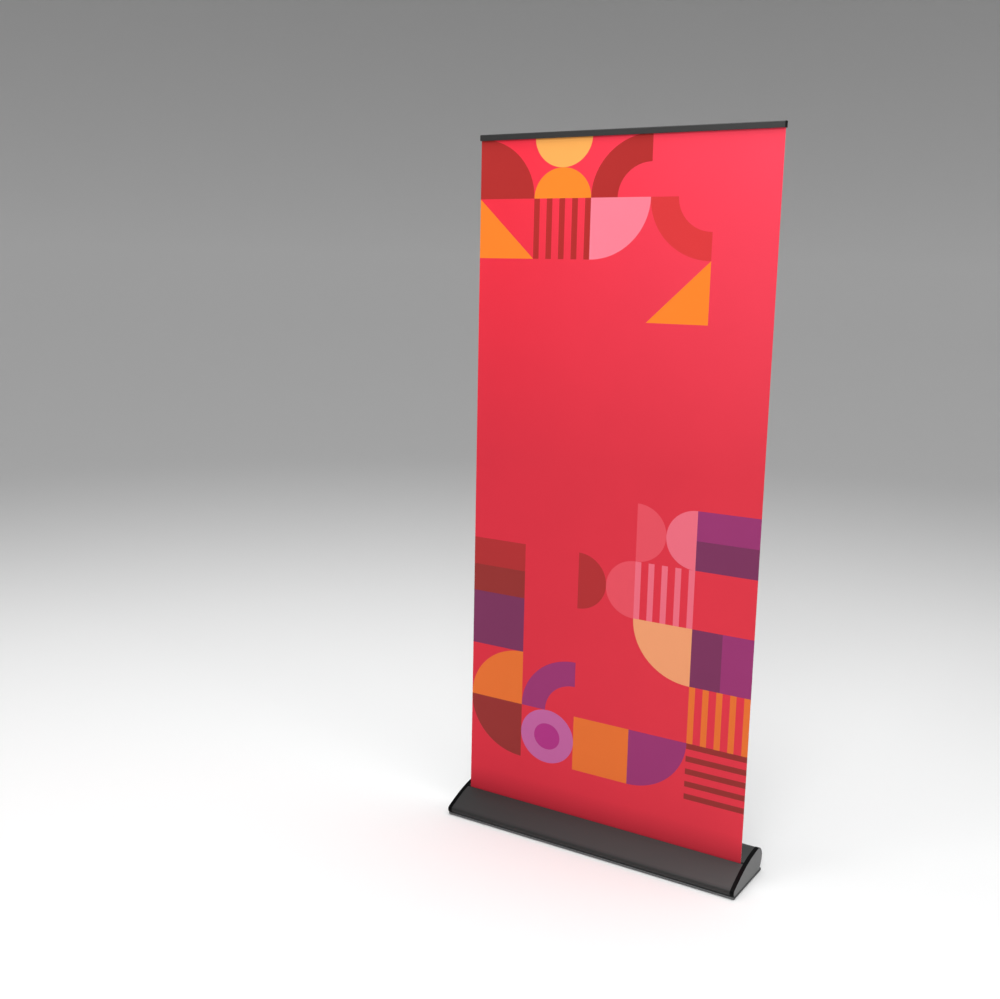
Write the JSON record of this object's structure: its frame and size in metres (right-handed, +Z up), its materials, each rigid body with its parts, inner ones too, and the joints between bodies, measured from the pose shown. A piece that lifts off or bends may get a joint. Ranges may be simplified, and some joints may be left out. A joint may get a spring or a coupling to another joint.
{
  "type": "roll-up banner stand",
  "caption": "Roll-up banner stand: a printed graphic winds on a sprung roller in a teardrop floor casing and hangs from a clamping top rail on a sectional pole.",
  "frame": {"origin": "on the floor, under the middle of the casing", "axes": "+X along the casing to the viewer's right, +Y to the back where the pole stands, +Z up"},
  "size_m": [0.954, 0.217, 2.08],
  "materials": {
    "anodised_casing": "charcoal anodised, satin",
    "rail_profile": "charcoal anodised, satin",
    "plate": "grey powder coat",
    "black_moulding": "gloss black",
    "grey_moulding": "satin mid grey",
    "graphic": "printed polyester film, satin",
    "bare_aluminium": "satin anodised",
    "steel": "zinc plated",
    "rubber": "matt",
    "felt": "black pile",
    "nylon": "natural nylon",
    "cord": "braided cover"
  },
  "bodies": {
    "base": {"base_plate": "plate", "foot_pad_1": "rubber", "foot_pad_2": "rubber", "foot_pad_3": "rubber", "foot_pad_4": "rubber", "plate_rivet_1": "steel", "plate_rivet_2": "steel", "plate_rivet_3": "steel", "plate_rivet_4": "steel", "casing_front": "anodised_casing", "casing_rear": "anodised_casing", "slot_felt_front": "felt", "slot_felt_rear": "felt", "end_cap_left": "black_moulding", "end_cap_right": "black_moulding", "end_insert_left": "grey_moulding", "end_insert_right": "grey_moulding", "cap_screw_left_1": "steel", "cap_screw_left_2": "steel", "cap_screw_left_3": "steel", "cap_screw_left_4": "steel", "cap_screw_right_1": "steel", "cap_screw_right_2": "steel", "cap_screw_right_3": "steel", "cap_screw_right_4": "steel", "roller_shaft": "steel", "spring_anchor": "nylon", "torsion_spring": "steel", "bearing_pin": "steel", "banner_sheet": "graphic", "pole_socket": "black_moulding", "socket_screw": "steel"},
    "roller": {"roller_tube": "bare_aluminium", "graphic_tail": "graphic", "roller_plug_left": "black_moulding", "roller_plug_right": "black_moulding", "bearing_bush": "nylon"},
    "pole_bottom": {"pole_lower": "bare_aluminium", "ferrule_lower": "steel", "pole_foot_plug": "black_moulding", "shock_cord": "cord", "cord_knot_low": "cord"},
    "pole_centre": {"pole_middle": "bare_aluminium", "ferrule_middle": "steel"},
    "pole_top": {"pole_upper": "bare_aluminium", "pole_top_plug": "black_moulding", "cord_knot_high": "cord"},
    "top_rail": {"rail_back": "rail_profile", "rail_end_left": "black_moulding", "rail_end_right": "black_moulding", "pole_clip": "black_moulding", "clip_screw_1": "steel", "clip_screw_2": "steel", "clamp_bolt": "steel", "clamp_nut": "steel", "lever_pin": "steel"},
    "jaw": {"rail_jaw": "rail_profile", "jaw_grip_strip": "rubber"},
    "lever": {"clip_lever": "black_moulding"}
  },
  "joints": [
    {"name": "banner_retract", "type": "slide", "parent": "base", "child": "top_rail", "axis": [0, 0, 1], "range_m": [-1.978, 0], "deforming": ["banner_sheet"]},
    {"name": "roller_spin", "type": "hinge", "parent": "base", "child": "roller", "pos_m": [0, 0.0055, 0.042], "axis": [1, 0, 0], "continuous": true},
    {"name": "pole_lift_out", "type": "slide", "parent": "base", "child": "pole_bottom", "axis": [0, 0, 1], "range_m": [0, 0.08]},
    {"name": "pole_lower_joint", "type": "slide", "parent": "pole_bottom", "child": "pole_centre", "axis": [0, 0, 1], "range_m": [0, 0.06]},
    {"name": "pole_upper_joint", "type": "slide", "parent": "pole_centre", "child": "pole_top", "axis": [0, 0, 1], "range_m": [0, 0.06], "deforming": ["shock_cord"]},
    {"name": "jaw_open", "type": "hinge", "parent": "top_rail", "child": "jaw", "pos_m": [0, -0.0138, 2.0768], "axis": [-1, 0, 0], "range_deg": [0, 90]},
    {"name": "lever_open", "type": "hinge", "parent": "top_rail", "child": "lever", "pos_m": [0.01, 0.055, 2.072], "axis": [0, 0, 1], "range_deg": [0, 120]}
  ],
  "couplings": [
    {"joint": "roller_spin", "follows": "banner_retract", "rad_per_m": -54.7}
  ]
}
